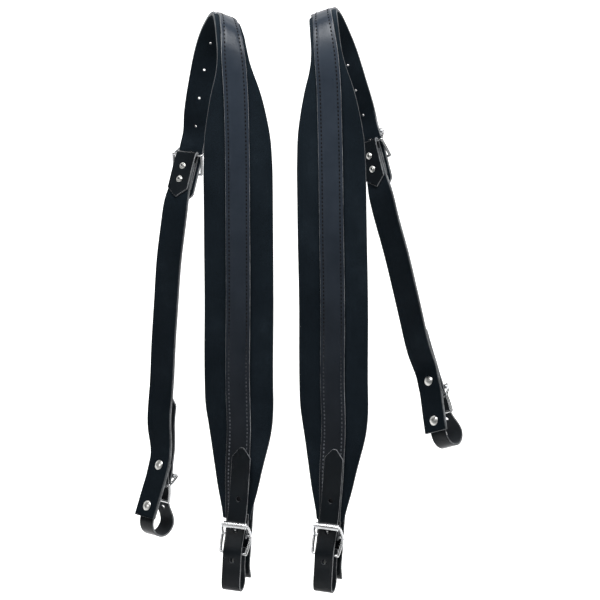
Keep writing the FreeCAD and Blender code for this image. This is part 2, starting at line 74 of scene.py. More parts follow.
CENTRE = Vector((75.0, -41.6, -278.2)) * M
DISTANCE = 2.1  # metres
ELEVATION = math.radians(6)
ROLL = math.radians(-0.29)
camera_data = bpy.data.cameras.new("camera")
camera_data.sensor_width = 36.0
camera_data.lens = 126.0
camera_data.clip_end = 30
camera = bpy.data.objects.new("camera", camera_data)
bpy.context.collection.objects.link(camera)
camera.location = CENTRE + Vector((0, -math.cos(ELEVATION), math.sin(ELEVATION))) * DISTANCE
camera.rotation_euler = (Matrix.Rotation(math.radians(90) - ELEVATION, 3, "X")
                         @ Matrix.Rotation(ROLL, 3, "Z")).to_euler()
bpy.context.scene.camera = camera


# ------------------------------------------------------------------ materials

def new_material(name):
    made = bpy.data.materials.new(name)
    made.use_nodes = True
    tree = made.node_tree
    tree.nodes.clear()
    out = tree.nodes.new("ShaderNodeOutputMaterial")
    shader = tree.nodes.new("ShaderNodeBsdfPrincipled")
    tree.links.new(shader.outputs[0], out.inputs[0])
    return made, tree, shader


def noise(tree, scale, detail=3.0, roughness=0.5, kind="ShaderNodeTexNoise"):
    place = tree.nodes.new("ShaderNodeTexCoord")
    made = tree.nodes.new(kind)
    made.inputs["Scale"].default_value = scale
    if "Detail" in made.inputs:
        made.inputs["Detail"].default_value = detail
        made.inputs["Roughness"].default_value = roughness
    tree.links.new(place.outputs["Object"], made.inputs["Vector"])
    return made


def ramp(tree, source, stops):
    made = tree.nodes.new("ShaderNodeValToRGB")
    elements = made.color_ramp.elements
    while len(elements) < len(stops):
        elements.new(0.5)
    for element, (place, colour) in zip(elements, stops):
        element.position = place
        element.color = (*colour, 1) if len(colour) == 3 else (colour[0],) * 3 + (1,)
    tree.links.new(source, made.inputs[0])
    return made


def mapped(tree, source, low, high, start=0.0, stop=1.0):
    made = tree.nodes.new("ShaderNodeMapRange")
    made.inputs["From Min"].default_value = start
    made.inputs["From Max"].default_value = stop
    made.inputs["To Min"].default_value = low
    made.inputs["To Max"].default_value = high
    tree.links.new(source, made.inputs["Value"])
    return made


def bumps(tree, shader, layers):
    """Chained bump layers: (height socket, strength, distance in mm)."""
    last = None
    for source, strength, distance in layers:
        made = tree.nodes.new("ShaderNodeBump")
        made.inputs["Strength"].default_value = strength
        made.inputs["Distance"].default_value = distance * M
        tree.links.new(source, made.inputs["Height"])
        if last:
            tree.links.new(last.outputs[0], made.inputs["Normal"])
        last = made
    tree.links.new(last.outputs[0], shader.inputs["Normal"])


def velvet_material():
    made, tree, shader = new_material("velvet")
    drift = noise(tree, 14.0, 4.0, 0.6)
    pile = noise(tree, 1900.0, 2.0, 0.6)
    tone = ramp(tree, drift.outputs["Fac"], [(0.32, (0.0046, 0.0078, 0.0112)),
                                             (0.55, (0.0070, 0.0112, 0.0156)),
                                             (0.72, (0.0120, 0.0178, 0.0240))])
    speck = ramp(tree, pile.outputs["Fac"], [(0.35, (0.45,)), (0.66, (1.6,))])
    mix = tree.nodes.new("ShaderNodeMix")
    mix.data_type = "RGBA"
    mix.blend_type = "MULTIPLY"
    mix.inputs[0].default_value = 0.8
    tree.links.new(tone.outputs[0], mix.inputs["A"])
    tree.links.new(speck.outputs[0], mix.inputs["B"])
    tree.links.new(mix.outputs["Result"], shader.inputs["Base Color"])
    shader.inputs["Roughness"].default_value = 0.92
    shader.inputs["Specular IOR Level"].default_value = 0.06
    shader.inputs["Sheen Weight"].default_value = 0.07
    shader.inputs["Sheen Roughness"].default_value = 0.42
    shader.inputs["Sheen Tint"].default_value = (0.46, 0.58, 0.70, 1)
    bumps(tree, shader, [(pile.outputs["Fac"], 0.5, 0.35), (drift.outputs["Fac"], 0.25, 1.2)])
    return made


def scaled_by_height(tree, colour, below, above, share_below, share_above):
    """Multiplies a colour by a share that changes with height: on the band, painted shade below
    and painted light above; on the thread, paler stitches low down.
    """
    place = tree.nodes.new("ShaderNodeTexCoord")
    parts = tree.nodes.new("ShaderNodeSeparateXYZ")
    tree.links.new(place.outputs["Object"], parts.inputs[0])
    share = mapped(tree, parts.outputs["Z"], share_below, share_above, below, above)
    mix = tree.nodes.new("ShaderNodeMix")
    mix.data_type = "RGBA"
    mix.blend_type = "MULTIPLY"
    mix.clamp_result = False
    mix.inputs[0].default_value = 1.0
    tree.links.new(colour, mix.inputs["A"])
    tree.links.new(share.outputs[0], mix.inputs["B"])
    return mix.outputs["Result"]


def leather_material(name, low, high, rough, grain, coat=0.0, gloss_spread=0.08, painted_light_by_height=None):
    made, tree, shader = new_material(name)
    cloud = noise(tree, 22.0, 4.0, 0.6)
    cells = noise(tree, grain, kind="ShaderNodeTexVoronoi")
    cells.feature = "DISTANCE_TO_EDGE"
    fine = noise(tree, 1500.0, 3.0, 0.6)
    scuffs = noise(tree, 95.0, 6.0, 0.75)
    tone = ramp(tree, cloud.outputs["Fac"], [(0.3, low), (0.7, high)])
    colour = tone.outputs[0]
    # Painted light and shade: the colour is scaled by height, darker low down and lighter high up.
    if painted_light_by_height:
        colour = scaled_by_height(tree, colour, *painted_light_by_height)
    tree.links.new(colour, shader.inputs["Base Color"])
    gloss = mapped(tree, scuffs.outputs["Fac"], rough - gloss_spread, rough + gloss_spread,
                   0.3, 0.7)
    tree.links.new(gloss.outputs[0], shader.inputs["Roughness"])
    shader.inputs["Specular IOR Level"].default_value = 0.24
    shader.inputs["Coat Weight"].default_value = coat
    shader.inputs["Coat Roughness"].default_value = 0.32
    creases = mapped(tree, cells.outputs["Distance"], 0.0, 1.0, 0.0, 0.12)
    bumps(tree, shader, [(creases.outputs[0], 0.16, 0.10), (fine.outputs["Fac"], 0.16, 0.05),
                         (cloud.outputs["Fac"], 0.12, 0.8)])
    return made


def edge_material(name, low, high):
    made, tree, shader = new_material(name)
    fibre = noise(tree, 700.0, 4.0, 0.7)
    patches = noise(tree, 60.0, 3.0, 0.6)
    mix = tree.nodes.new("ShaderNodeMath")
    mix.operation = "MULTIPLY"
    tree.links.new(fibre.outputs["Fac"], mix.inputs[0])
    tree.links.new(patches.outputs["Fac"], mix.inputs[1])
    tone = ramp(tree, mix.outputs[0], [(0.14, low), (0.36, high)])
    tree.links.new(tone.outputs[0], shader.inputs["Base Color"])
    shader.inputs["Roughness"].default_value = 0.62
    bumps(tree, shader, [(fibre.outputs["Fac"], 0.4, 0.12)])
    return made


def suede_material():
    made, tree, shader = new_material("suede")
    nap = noise(tree, 1300.0, 3.0, 0.7)
    cloud = noise(tree, 30.0, 5.0, 0.65)
    tone = ramp(tree, cloud.outputs["Fac"], [(0.3, (0.0075, 0.0100, 0.0130)),
                                             (0.7, (0.0170, 0.0215, 0.0265))])
    tree.links.new(tone.outputs[0], shader.inputs["Base Color"])
    shader.inputs["Roughness"].default_value = 0.86
    shader.inputs["Specular IOR Level"].default_value = 0.25
    shader.inputs["Sheen Weight"].default_value = 0.22
    shader.inputs["Sheen Roughness"].default_value = 0.5
    shader.inputs["Sheen Tint"].default_value = (0.6, 0.63, 0.68, 1)
    bumps(tree, shader, [(nap.outputs["Fac"], 0.5, 0.2), (cloud.outputs["Fac"], 0.2, 0.6)])
    return made


def metal_material(name, colour, rough, scale):
    made, tree, shader = new_material(name)
    marks = noise(tree, scale, 5.0, 0.7)
    wear = noise(tree, 130.0, 3.0, 0.6)
    tone = ramp(tree, wear.outputs["Fac"], [(0.3, tuple(c * 0.86 for c in colour)),
                                            (0.6, colour)])
    tree.links.new(tone.outputs[0], shader.inputs["Base Color"])
    gloss = mapped(tree, marks.outputs["Fac"], rough - 0.05, rough + 0.12, 0.3, 0.7)
    tree.links.new(gloss.outputs[0], shader.inputs["Roughness"])
    shader.inputs["Metallic"].default_value = 1.0
    bumps(tree, shader, [(marks.outputs["Fac"], 0.08, 0.05), (wear.outputs["Fac"], 0.05, 0.2)])
    return made


def thread_material():
    made, tree, shader = new_material("thread")
    twist = noise(tree, 900.0, 2.0, 0.5)
    tone = ramp(tree, twist.outputs["Fac"], [(0.35, (0.0024, 0.0027, 0.0031)),
                                             (0.65, (0.0090, 0.0098, 0.0110))])
    # The stitches are made 18 times paler below z = -0.44 m, easing to their own tone above z =
    # -0.30 m.
    paler_below = scaled_by_height(tree, tone.outputs[0], -0.44, -0.30, 18.0, 1.0)
    tree.links.new(paler_below, shader.inputs["Base Color"])
    shader.inputs["Roughness"].default_value = 0.8
    shader.inputs["Specular IOR Level"].default_value = 0.15
    bumps(tree, shader, [(twist.outputs["Fac"], 0.5, 0.12)])
    return made


VELVET = velvet_material()
# The band's last argument paints light by height: painted shade at 0.35 below z = -0.46 m, painted
# light at 1.15 above z = -0.14 m.
BAND = leather_material("band_leather", (0.0120, 0.0170, 0.0250), (0.0210, 0.0280, 0.0390),
                        0.34, 620.0, 0.04, 0.08, (-0.46, -0.14, 0.35, 1.15))
LEATHER = leather_material("strap_leather", (0.0036, 0.0054, 0.0072), (0.0080, 0.0110, 0.0140),
                           0.20, 780.0, 0.0, 0.03)
# The cut edges' pale grey is partly the edge's own fibre tone and partly a painted highlight
# standing in for the light rims.
EDGE = edge_material("cut_edge", (0.050, 0.056, 0.062), (0.34, 0.355, 0.37))
DARK_EDGE = edge_material("velvet_edge", (0.016, 0.020, 0.024), (0.10, 0.112, 0.122))
SUEDE = suede_material()
CHROME = metal_material("buckle_chrome", (0.86, 0.87, 0.88), 0.17, 240.0)
NICKEL = metal_material("rivet_nickel", (0.80, 0.80, 0.77), 0.30, 420.0)
THREAD = thread_material()


# ------------------------------------------------------------------ strap paths

class Seat:
    """Where a buckle's centre bar sits: across, out of the strap, and up along it."""

    def __init__(self, at, turn, tilt, lean, behind):
        a, b, c = math.radians(turn), math.radians(tilt), math.radians(lean)
        side = 1.0 if behind else -1.0
        level = np.array([math.cos(a), -math.sin(a), 0])
        away = np.array([math.sin(a), math.cos(a), 0]) * side
        z = np.array([0, 0, 1.0])
        rise = z * math.cos(b) + away * math.sin(b)
        self.at = np.array(at) + ORIGIN
        self.out = away * math.cos(b) - z * math.sin(b)
        self.across = level * math.cos(c) - rise * math.sin(c)
        self.up = rise * math.cos(c) + level * math.sin(c)

    def point(self, out, up, x=0.0):
        return self.at + self.out * out + self.up * up + self.across * x


def spline(marks, values):
    """A natural cubic spline through the values: returns (value, slope) at any mark."""
    t = np.array(marks, float)
    y = np.array(values, float)
    n = len(t)
    h = np.diff(t)
    grid = np.zeros((n, n))
    right = np.zeros((n, y.shape[1]))
    grid[0, 0] = grid[-1, -1] = 1
    for i in range(1, n - 1):
        grid[i, i - 1], grid[i, i], grid[i, i + 1] = h[i - 1], 2 * (h[i - 1] + h[i]), h[i]
        right[i] = 6 * ((y[i + 1] - y[i]) / h[i] - (y[i] - y[i - 1]) / h[i - 1])
    curve = np.linalg.solve(grid, right)

    def at(s):
        k = int(np.clip(np.searchsorted(t, s) - 1, 0, n - 2))
        a, b = (t[k + 1] - s) / h[k], (s - t[k]) / h[k]
        value = (a * y[k] + b * y[k + 1]
                 + ((a ** 3 - a) * curve[k] + (b ** 3 - b) * curve[k + 1]) * h[k] ** 2 / 6)
        slope = ((y[k + 1] - y[k]) / h[k]
                 + (-(3 * a * a - 1) * curve[k] + (3 * b * b - 1) * curve[k + 1]) * h[k] / 6)
        return value, slope

    return at


class Course:
    """The line a strap follows, with the direction across it, measured in mm along it."""

    def __init__(self, stations, start=0.0):
        points = [p for p, _ in stations]
        self.sides = [w for _, w in stations]
        self.marks = [start]
        for a, b in zip(points, points[1:]):
            self.marks.append(self.marks[-1] + float(np.linalg.norm(b - a)))
        self.line = spline(self.marks, points)

    def frame(self, s):
        marks = self.marks
        k = int(np.clip(np.searchsorted(marks, s, side="right") - 1, 0, len(marks) - 2))
        t = min(max((s - marks[k]) / (marks[k + 1] - marks[k]), 0.0), 1.0)
        t = t * t * (3 - 2 * t)
        across = self.sides[k] * (1 - t) + self.sides[k + 1] * t
        here, along = self.line(s)
        along = along / np.linalg.norm(along)
        across = across - along * across.dot(along)
        across = across / np.linalg.norm(across)
        return here, along, across, np.cross(across, along)


def station(x, y, z, turn, roll):
    a, b = math.radians(turn), math.radians(roll)
    across = np.array([math.cos(a) * math.cos(b), -math.sin(a) * math.cos(b), -math.sin(b)])
    return np.array([x, y, z]) + ORIGIN, across


def seated(seat, out, up, x=0.0):
    return seat.point(out, up, x), seat.across


def between(table, s):
    return float(np.interp(s, [row[0] for row in table], [row[1] for row in table]))


def smooth_between(table, s):
    """Like between, with the corners eased over a few millimetres."""
    return sum(between(table, s + d) for d in (-9, -6, -3, 0, 3, 6, 9)) / 7


# ------------------------------------------------------------------ meshes

def make_object(name, verts, faces, marks, materials, replaced=(), body=None, slot=None):
    mesh = bpy.data.meshes.new(name)
    mesh.from_pydata([tuple(v * M) for v in verts], [], faces)
    for material in materials:
        mesh.materials.append(material)
    mesh.polygons.foreach_set("material_index", marks)
    mesh.polygons.foreach_set("use_smooth", [True] * len(faces))
    mesh.update()
    made = bpy.data.objects.new(name, mesh)
    bpy.context.collection.objects.link(made)
    work = bmesh.new()
    work.from_mesh(mesh)
    bmesh.ops.recalc_face_normals(work, faces=work.faces)
    work.to_mesh(mesh)
    work.free()
    if replaced:
        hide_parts(*replaced)
    if body:
        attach(made, body)
    return made


def strap_ring(half, low, high, soft, steps):
    """A rounded strap section as (x, n, side) points: 0 outer face, 1 inner face, 2 edge."""
    soft = min(soft, half * 0.9, (high - low) * 0.45)
    ring = []

    def corner(x_way, outer, from_face, kinds):
        for degrees, kind in zip((30, 60), kinds):
            a = math.radians(degrees)
            aside, off = (math.sin(a), math.cos(a)) if from_face else (math.cos(a), math.sin(a))
            n = high - soft + soft * off if outer else low + soft - soft * off
            ring.append((x_way * (half - soft + soft * aside), n, kind))

    for i in range(steps + 1):
        ring.append((-half + soft + (2 * half - 2 * soft) * i / steps, high, 0))
    corner(1, True, True, (0, 2))
    ring.append((half, high - soft, 2))
    ring.append((half, low + soft, 2))
    corner(1, False, False, (2, 1))
    for i in range(steps + 1):
        ring.append((half - soft - (2 * half - 2 * soft) * i / steps, low, 1))
    corner(-1, False, True, (1, 2))
    ring.append((-half, low + soft, 2))
    ring.append((-half, high - soft, 2))
    corner(-1, True, False, (2, 0))
    return ring


def sweep(name, course, spots, ring_at, materials, **facts):
    """A closed strap: ring_at(s) gives its section at each spot along the course."""
    verts, faces, marks = [], [], []
    size = None
    for row, s in enumerate(spots):
        here, along, across, out = course.frame(s)
        ring = ring_at(s)
        size = len(ring)
        for x, n, _ in ring:
            verts.append(here + across * x + out * n)
        if row:
            a, b = (row - 1) * size, row * size
            for i in range(size):
                j = (i + 1) % size
                faces.append((a + i, a + j, b + j, b + i))
                marks.append(max(ring[i][2], ring[j][2]))
    last = (len(spots) - 1) * size
    faces.append(tuple(reversed(range(size))))
    faces.append(tuple(range(last, last + size)))
    marks += [2, 2]
    return make_object(name, verts, faces, marks, materials, **facts)


def punch(piece, holes):
    """Round holes through a strap: (place, direction, radius) each, in mm."""
    for place, axis, radius in holes:
        bpy.ops.mesh.primitive_cylinder_add(vertices=28, radius=radius * M, depth=12 * M,
                                            location=tuple(place * M))
        tool = bpy.context.object
        tool.rotation_euler = Vector(axis).to_track_quat("Z", "Y").to_euler()
        tool.data.materials.append(DARK_EDGE)
        bpy.context.view_layer.update()
        cutter = piece.modifiers.new("hole", "BOOLEAN")
        cutter.operation = "DIFFERENCE"
        cutter.solver = "EXACT"
        cutter.material_mode = "TRANSFER"
        cutter.object = tool
        bpy.context.view_layer.objects.active = piece
        bpy.ops.object.modifier_apply(modifier=cutter.name)
        bpy.data.objects.remove(tool, do_unlink=True)


def spots_between(start, end, step):
    count = max(int(round((end - start) / step)), 2)
    return [start + (end - start) * i / count for i in range(count + 1)]


STITCH_ROWS = 6
STITCH_SIDES = 8
STITCH_REACH = 0.33  # of the pitch, each way from the middle
STITCH_HALF_WIDTH = 0.72
STITCH_HALF_HEIGHT = 0.36


def stitches(name, course, start, end, pitch, places, lift, body):
    """Rows of stitches on a strap: places(s) gives each row's distance from the middle."""
    verts, faces = [], []
    rows, around = STITCH_ROWS, STITCH_SIDES
    count = int((end - start) / pitch)
    for k in range(count):
        s = start + (k + 0.5) * pitch
        here, along, across, out = course.frame(s)
        for x in places(s):
            base = len(verts)
            skew = rng.uniform(-0.05, 0.05)
            run = along + across * skew
            centre = here + across * x + out * lift
            for i in range(rows + 1):
                u = -1 + 2 * i / rows
                swell = math.sqrt(max(1 - u * u, 0.0)) * 0.92 + 0.08
                middle = (centre + run * (u * pitch * STITCH_REACH)
                          + out * (0.22 * (1 - u * u) - 0.1))
                for j in range(around):
                    a = 2 * math.pi * j / around
                    verts.append(middle + across * (math.cos(a) * STITCH_HALF_WIDTH * swell)
                                 + out * (math.sin(a) * STITCH_HALF_HEIGHT * swell))
            for i in range(rows):
                for j in range(around):
                    a, b = base + i * around + j, base + i * around + (j + 1) % around
                    faces.append((a, b, b + around, a + around))
            faces.append(tuple(base + j for j in reversed(range(around))))
            faces.append(tuple(base + rows * around + j for j in range(around)))
    return make_object(name, verts, faces, [0] * len(faces), [THREAD], body=body,
                       slot="band_leather")


# ------------------------------------------------------------------ one strap

ARCH_ROW = 10  # the arch row at the top of the strap
PAD_STEPS = 26
PAD_RIM = 1.15
STRAP_STEPS = 16
EDGE_SOFT = 0.55
STITCH_PITCH = 3.9
STITCH_INSET = 3.4
GROOVE_DEPTH = 0.42
BAND_FACE = 2.3
LOOP_WIDTH = 19.5
ADJUSTING_WIDTH = 28.0
HOLE_COUNT = 6
HOLE_PITCH = 30.0
TONGUE_HOLE = 2.6
SPARE_HOLE = 1.3


def pad_piece(side, course, width, foam_start, foam_end, stop):
    """The stuffed pad: velvet over foam, crowned on both faces, with its cut rim."""
    steps, rim = PAD_STEPS, PAD_RIM

    def ring_at(s):
        half = width(s) / 2
        fill = between([(foam_start - 12, 0.0), (foam_start + 22, 0.55), (foam_start + 70, 1.0),
                        (foam_end - 80, 1.0), (foam_end - 12, 0.55), (foam_end + 24, 0.0)], s)
        wide = min(max((half - 16.0) / 18.0, 0.0), 1.0)
        roll = math.sin(s * 0.021 + (1.0 if side == "left" else 2.6)) * 0.35 * fill
        wave = (math.sin(s * 0.057) * 0.25 + math.sin(s * 0.131 + 1.3) * 0.12) * fill
        seam = -2.1 - 1.6 * fill * wide
        back = between([(23, -7.4), (foam_start, -7.4), (foam_start + 60, -11.2),
                        (foam_end - 70, -11.2), (foam_end, -7.4), (foam_end + 34, -4.1),
                        (stop, -4.1)], s)
        ring = []
        for i in range(steps + 1):
            u = -1 + 2 * i / steps
            x = u * (half - 0.4)
            far = abs(x)
            edge = 1 - abs(u) ** 2.6
            top = seam + rim + (0.0 - seam - rim) * edge ** 0.6
            puff = math.exp(-((far - 22.0) / 7.0) ** 2) * 1.5 * fill * wide
            dip = math.exp(-((far - 13.0) / 2.2) ** 2) * 0.75 * fill * wide
            ring.append((x, top + puff - dip + (roll if u > 0 else -roll) * edge * wide
                         + wave * edge * wide * 0.6, 0))
        ring.append((half - 0.1, seam + rim * 0.75, 2))
        ring.append((half, seam, 2))
        ring.append((half - 0.1, seam - rim * 0.75, 2))
        for i in range(steps + 1):
            u = 1 - 2 * i / steps
            x = u * (half - 0.4)
            edge = max(1 - abs(u) ** 2.2, 0.0) ** 0.7
            low = seam - rim + (back - seam + rim) * edge
            ring.append((x, low + wave * edge * 0.5 * wide, 1))
        ring.append((-half + 0.1, seam - rim * 0.75, 2))
        ring.append((-half, seam, 2))
        ring.append((-half + 0.1, seam + rim * 0.75, 2))
        return ring

    made = sweep(side + "_pad", course, spots_between(15.5, stop, 3.2), ring_at,
                 [VELVET, VELVET, DARK_EDGE], body=side + "_front", slot="velvet",
                 replaced=[side + "_pad_cover", side + "_pad_foam", side + "_pad_lining"])
    return made


def flat_strap(name, course, start, end, width, low, high, materials, holes=(), step=2.0,
               crown=0.0, groove=None, **facts):
    """A plain strap with rounded, burnished edges; groove(s) gives stitch rows pressed into it."""

    def ring_at(s):
        half = width(s) / 2
        shaped = []
        for x, n, kind in strap_ring(half, low, high, EDGE_SOFT, STRAP_STEPS):
            if kind == 0:
                n += crown * (1 - (x / max(half, 0.5)) ** 2)
                if groove:
                    for g in groove(s):
                        n -= GROOVE_DEPTH * math.exp(-(x - g) ** 2)
            shaped.append((x, n, kind))
        return shaped

    made = sweep(name, course, spots_between(start, end, step), ring_at, materials, **facts)
    if holes:
        punch(made, holes)
    return made


def local_course(seat, points):
    return Course([(seat.point(out, up), seat.across) for out, up in points], 0.0)


def loop_points(bottom_out, bottom_up, radius):
    back, front = bottom_out - radius, bottom_out + radius
    return [
        (-3.5, -13.0),
        (-3.5, -24.0),
        (-3.5 * 0.97 + back * 0.03, -32.0),
        (back, bottom_up + radius),
        (bottom_out - radius * 0.72, bottom_up + radius * 0.30),
        (bottom_out, bottom_up),
        (bottom_out + radius * 0.72, bottom_up + radius * 0.30),
        (front, bottom_up + radius),
        (front * 0.45 + 11.8 * 0.55, (bottom_up + radius) * 0.4 - 17.0 * 0.6),
        (11.7, -17.0),
        (9.6, -7.0),
        (7.2, 0.0),
        (5.2, 6.1),
        (4.2, 11.5),
    ]


CHAPE = [
    (-4.1, 22.0), (-4.1, 15.0), (-4.0, 9.0), (-3.3, 4.0), (-2.5, 0.0), (-1.77, -1.77),
    (0.0, -2.5), (1.77, -1.77), (2.5, 0.0), (2.1, 2.4), (0.2, 6.5), (-1.7, 10.5),
    (-2.3, 15.0), (-2.3, 22.0),
]
TAB = [
    (-3.7, -47.0), (-3.7, -30.0), (-3.7, -15.0), (-3.4, -6.0), (-2.8, 0.0), (-1.98, 1.98),
    (0.0, 2.8), (1.98, 1.98), (2.8, 0.0), (3.4, -6.0), (3.7, -15.0), (3.7, -36.0),
]
TAB_RIVETS = (-13.5, -28.0)  # up from the bar
TAB_DOME_TOP = 6.2
TAIL = [(-6.6, 39.0), (-6.6, 20.0), (-6.6, 0.0), (-6.6, -18.0), (-6.6, -31.0),
        (-9.7, -39.0), (-13.6, -45.0)]


def strap_end(label, body, seat, bottom, upper, faces):
    """The loop strap and the folded chape at one end of a strap."""
    course = Course([seated(seat, out, up) for out, up in loop_points(*bottom)] + upper)
    end = course.marks[-1]
    tip = [(0, LOOP_WIDTH), (end - 10.0, LOOP_WIDTH), (end - 0.6, 5.0), (end, 3.0)]
    holes = []
    for mark in (course.marks[12], course.marks[9] - 7.0, course.marks[15]):
        here, along, across, normal = course.frame(mark)
        holes.append((here, normal, TONGUE_HOLE))
    flat_strap(label + "_loop", course, 0.0, end, lambda s: between(tip, s), -1.1, 1.1,
               faces, holes, 1.5, replaced=[label + "_loop_strap"],
               body=body, slot="strap_leather")
    # the fold is slotted where the tongue comes through, so it is made as two sides
    for k, sign in enumerate((-1, 1)):
        shifted = Course([(seat.point(out, up, sign * 6.85), seat.across) for out, up in CHAPE])
        flat_strap("%s_chape_%d" % (label, k), shifted, 0.0, shifted.marks[-1],
                   lambda s: 7.3, -0.8, 0.8, faces, step=1.0,
                   replaced=[label + "_chape"] if k == 0 else (), body=body,
                   slot="strap_leather")


def rivet_collar(name, body, seat, height, up):
    """The rolled rim of a tubular rivet on top of the CAD's dome; its bore is a shallow dark disc,
    painted shade for the hollow.
    """
    # radius, and height above the top of the dome
    profile = [(1.15, 0.02), (1.20, 0.36), (1.45, 0.48), (1.75, 0.36), (2.25, -0.50),
               (1.0, -0.60)]
    steps = 24
    verts, faces, marks = [], [], []
    for radius, rise in profile:
        for k in range(steps):
            a = 2 * math.pi * k / steps
            verts.append(seat.point(-height - rise, up + radius * math.sin(a),
                                    radius * math.cos(a)))
    # The first ring of faces, the bore's wall, and the disc that closes it take the dark suede
    # colour as painted shade.
    for i in range(len(profile) - 1):
        for k in range(steps):
            a, b = i * steps + k, i * steps + (k + 1) % steps
            faces.append((a, b, b + steps, a + steps))
            marks.append(1 if i == 0 else 0)
    faces.append(tuple(range(steps)))
    faces.append(tuple(reversed(range((len(profile) - 1) * steps, len(profile) * steps))))
    marks += [1, 0]
    make_object(name, verts, faces, marks, [NICKEL, SUEDE], body=body, slot="rivet_nickel")


def build_side(side, pad, front, rear, end, over_arch, down_back, free_end):
    stations = [seated(pad, -2.8, up) for up in (23.0, 50.0, 80.0, 110.0)]
    stations += [station(*row) for row in over_arch]
    stations += [seated(rear, out, up) for out, up in
                 ((4.2, 23.0), (4.4, 11.5), (6.0, 0.0), (6.1, -10.0), (6.1, -24.0), (6.1, -52.0))]
    course = Course(stations, 23.0)
    arch = course.marks[4 + ARCH_ROW]
    flex = arch + 9.0
    rear_bar = course.marks[-4]
    neck = arch - 62.0
    widths = [
        (15.0, 28.0), (23.0, 31.0), (49.0, 43.5), (66.0, 49.5), (90.0, 59.5), (105.0, 65.5),
        (118.0, 69.0), (136.0, 71.0), (370.0, 69.5), (neck - 82.0, 66.8), (neck - 60.0, 60.0),
        (neck - 34.0, 49.0), (neck - 14.0, 36.0), (neck + 2.0, 30.5), (neck + 20.0, 29.5),
        (flex, 29.0),
    ]
    stop = flex - 0.8
    pad_piece(side, course, lambda s: smooth_between(widths, s), 44.0, neck - 12.0, stop)

    # the leather band along the middle of the pad, with its two stitched rows
    band_widths = [(23.0, 22.0), (60.0, 25.0), (neck, 24.0), (neck + 40.0, 19.5), (stop, 19.0)]

    def band_width(s):
        return smooth_between(band_widths, s)

    def rows(s):
        half = band_width(s) / 2
        return (STITCH_INSET - half, half - STITCH_INSET)

    flat_strap(side + "_band", course, 15.9, stop, band_width, 0.0, BAND_FACE,
               [BAND, SUEDE, EDGE], step=3.0, crown=0.25, groove=rows,
               replaced=[side + "_centre_band"], body=side + "_front", slot="band_leather")
    stitches(side + "_band_stitches", course, 17.0, stop - 1.0, STITCH_PITCH, rows,
             BAND_FACE - 0.02, side + "_front")

    # the adjusting strap, one piece of leather from under the band to its free end
    last = course.marks[-1]
    start = flex - 5.0
    shape = [(start, 26.0), (flex + 2, ADJUSTING_WIDTH), (last - 11.0, ADJUSTING_WIDTH),
             (last, 8.0)]
    holes = []
    hole = rear_bar - 3.6
    for i in range(HOLE_COUNT):
        s = hole - i * HOLE_PITCH
        if s > flex + 8:
            here, along, across, out = course.frame(s)
            holes.append((here, out, SPARE_HOLE if i else TONGUE_HOLE))
    strap = flat_strap(side + "_adjusting_leather", course, start, last,
                       lambda s: between(shape, s), -0.7, 2.28, [LEATHER, VELVET, EDGE], holes,
                       2.0, replaced=[side + "_adjusting_strap"], slot="strap_leather")
    a, b = course.frame(flex - 3.0)[0], course.frame(flex + 9.0)[0]
    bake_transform(strap)

    # tail, tab and lower strap
    tail = local_course(front, TAIL)
    flat_strap(side + "_tail", tail, 0.0, tail.marks[-1], lambda s: 28.0, -1.5, 1.5,
               [VELVET, LEATHER, EDGE], replaced=[side + "_tail_strap"],
               body=side + "_front", slot="strap_leather")
    strap_end(side + "_front", side + "_front", front, (1.3, -56.4, 8.9),
              [seated(front, out, up) for out, up in
               ((2.4, 24.0), (1.0, 37.0), (0.9, 50.0), (0.9, 90.0))], [LEATHER, SUEDE, EDGE])

    tab = local_course(rear, TAB)
    total = tab.marks[-1]
    tab_shape = [(0.0, 0.9), (1.0, 3.0), (9.0, 23.0), (total, 23.0)]
    flat_strap(side + "_tab", tab, 0.0, total, lambda s: between(tab_shape, s), -1.1, 1.1,
               [LEATHER, SUEDE, EDGE], step=1.0, replaced=[side + "_rear_tab"],
               body=side + "_lower", slot="strap_leather")

    for k, up in enumerate(TAB_RIVETS):
        rivet_collar("%s_tab_collar_%d" % (side, k), side + "_lower", rear, TAB_DOME_TOP, up)

    stations = [seated(rear, 0.0, up) for up in (-8.0, -20.0, -34.0, -47.0)]
    stations += [station(*row) for row in down_back]
    stations += [seated(end, -7.7, up, x) for up, x in
                 ((24.0, -1.6), (16.0, -0.8), (6.0, 0.0), (-10.0, 0.0), (-25.0, 0.0),
                  (-39.0, 0.0))]
    lower = Course(stations, 8.0)
    finish = lower.marks[-1]
    lower_shape = [(8.0, 22.0), (30.0, 22.0), (52.0, 28.0), (finish, 28.0)]
    for part, low, high, mats, slot in (
        ("lower_strap", 0.0, 2.2, [LEATHER, LEATHER, EDGE], "strap_leather"),
        ("lower_strap_lining", -1.9, 0.0, [SUEDE, VELVET, DARK_EDGE], "suede"),
    ):
        flat_strap("%s_%s_piece" % (side, part), lower, 8.0, finish,
                   lambda s: smooth_between(lower_shape, s), low, high, mats, step=3.0,
                   replaced=["%s_%s" % (side, part)], body=side + "_lower", slot=slot)
    beside = []
    for above, clear, shift in free_end:
        here, along, across, out = lower.frame(finish - 39.0 - above)
        beside.append((here + out * clear + across * shift, across))
    strap_end(side + "_end", side + "_lower", end, (12.3, -54.0, 16.0), beside,
              [SUEDE, LEATHER, EDGE])


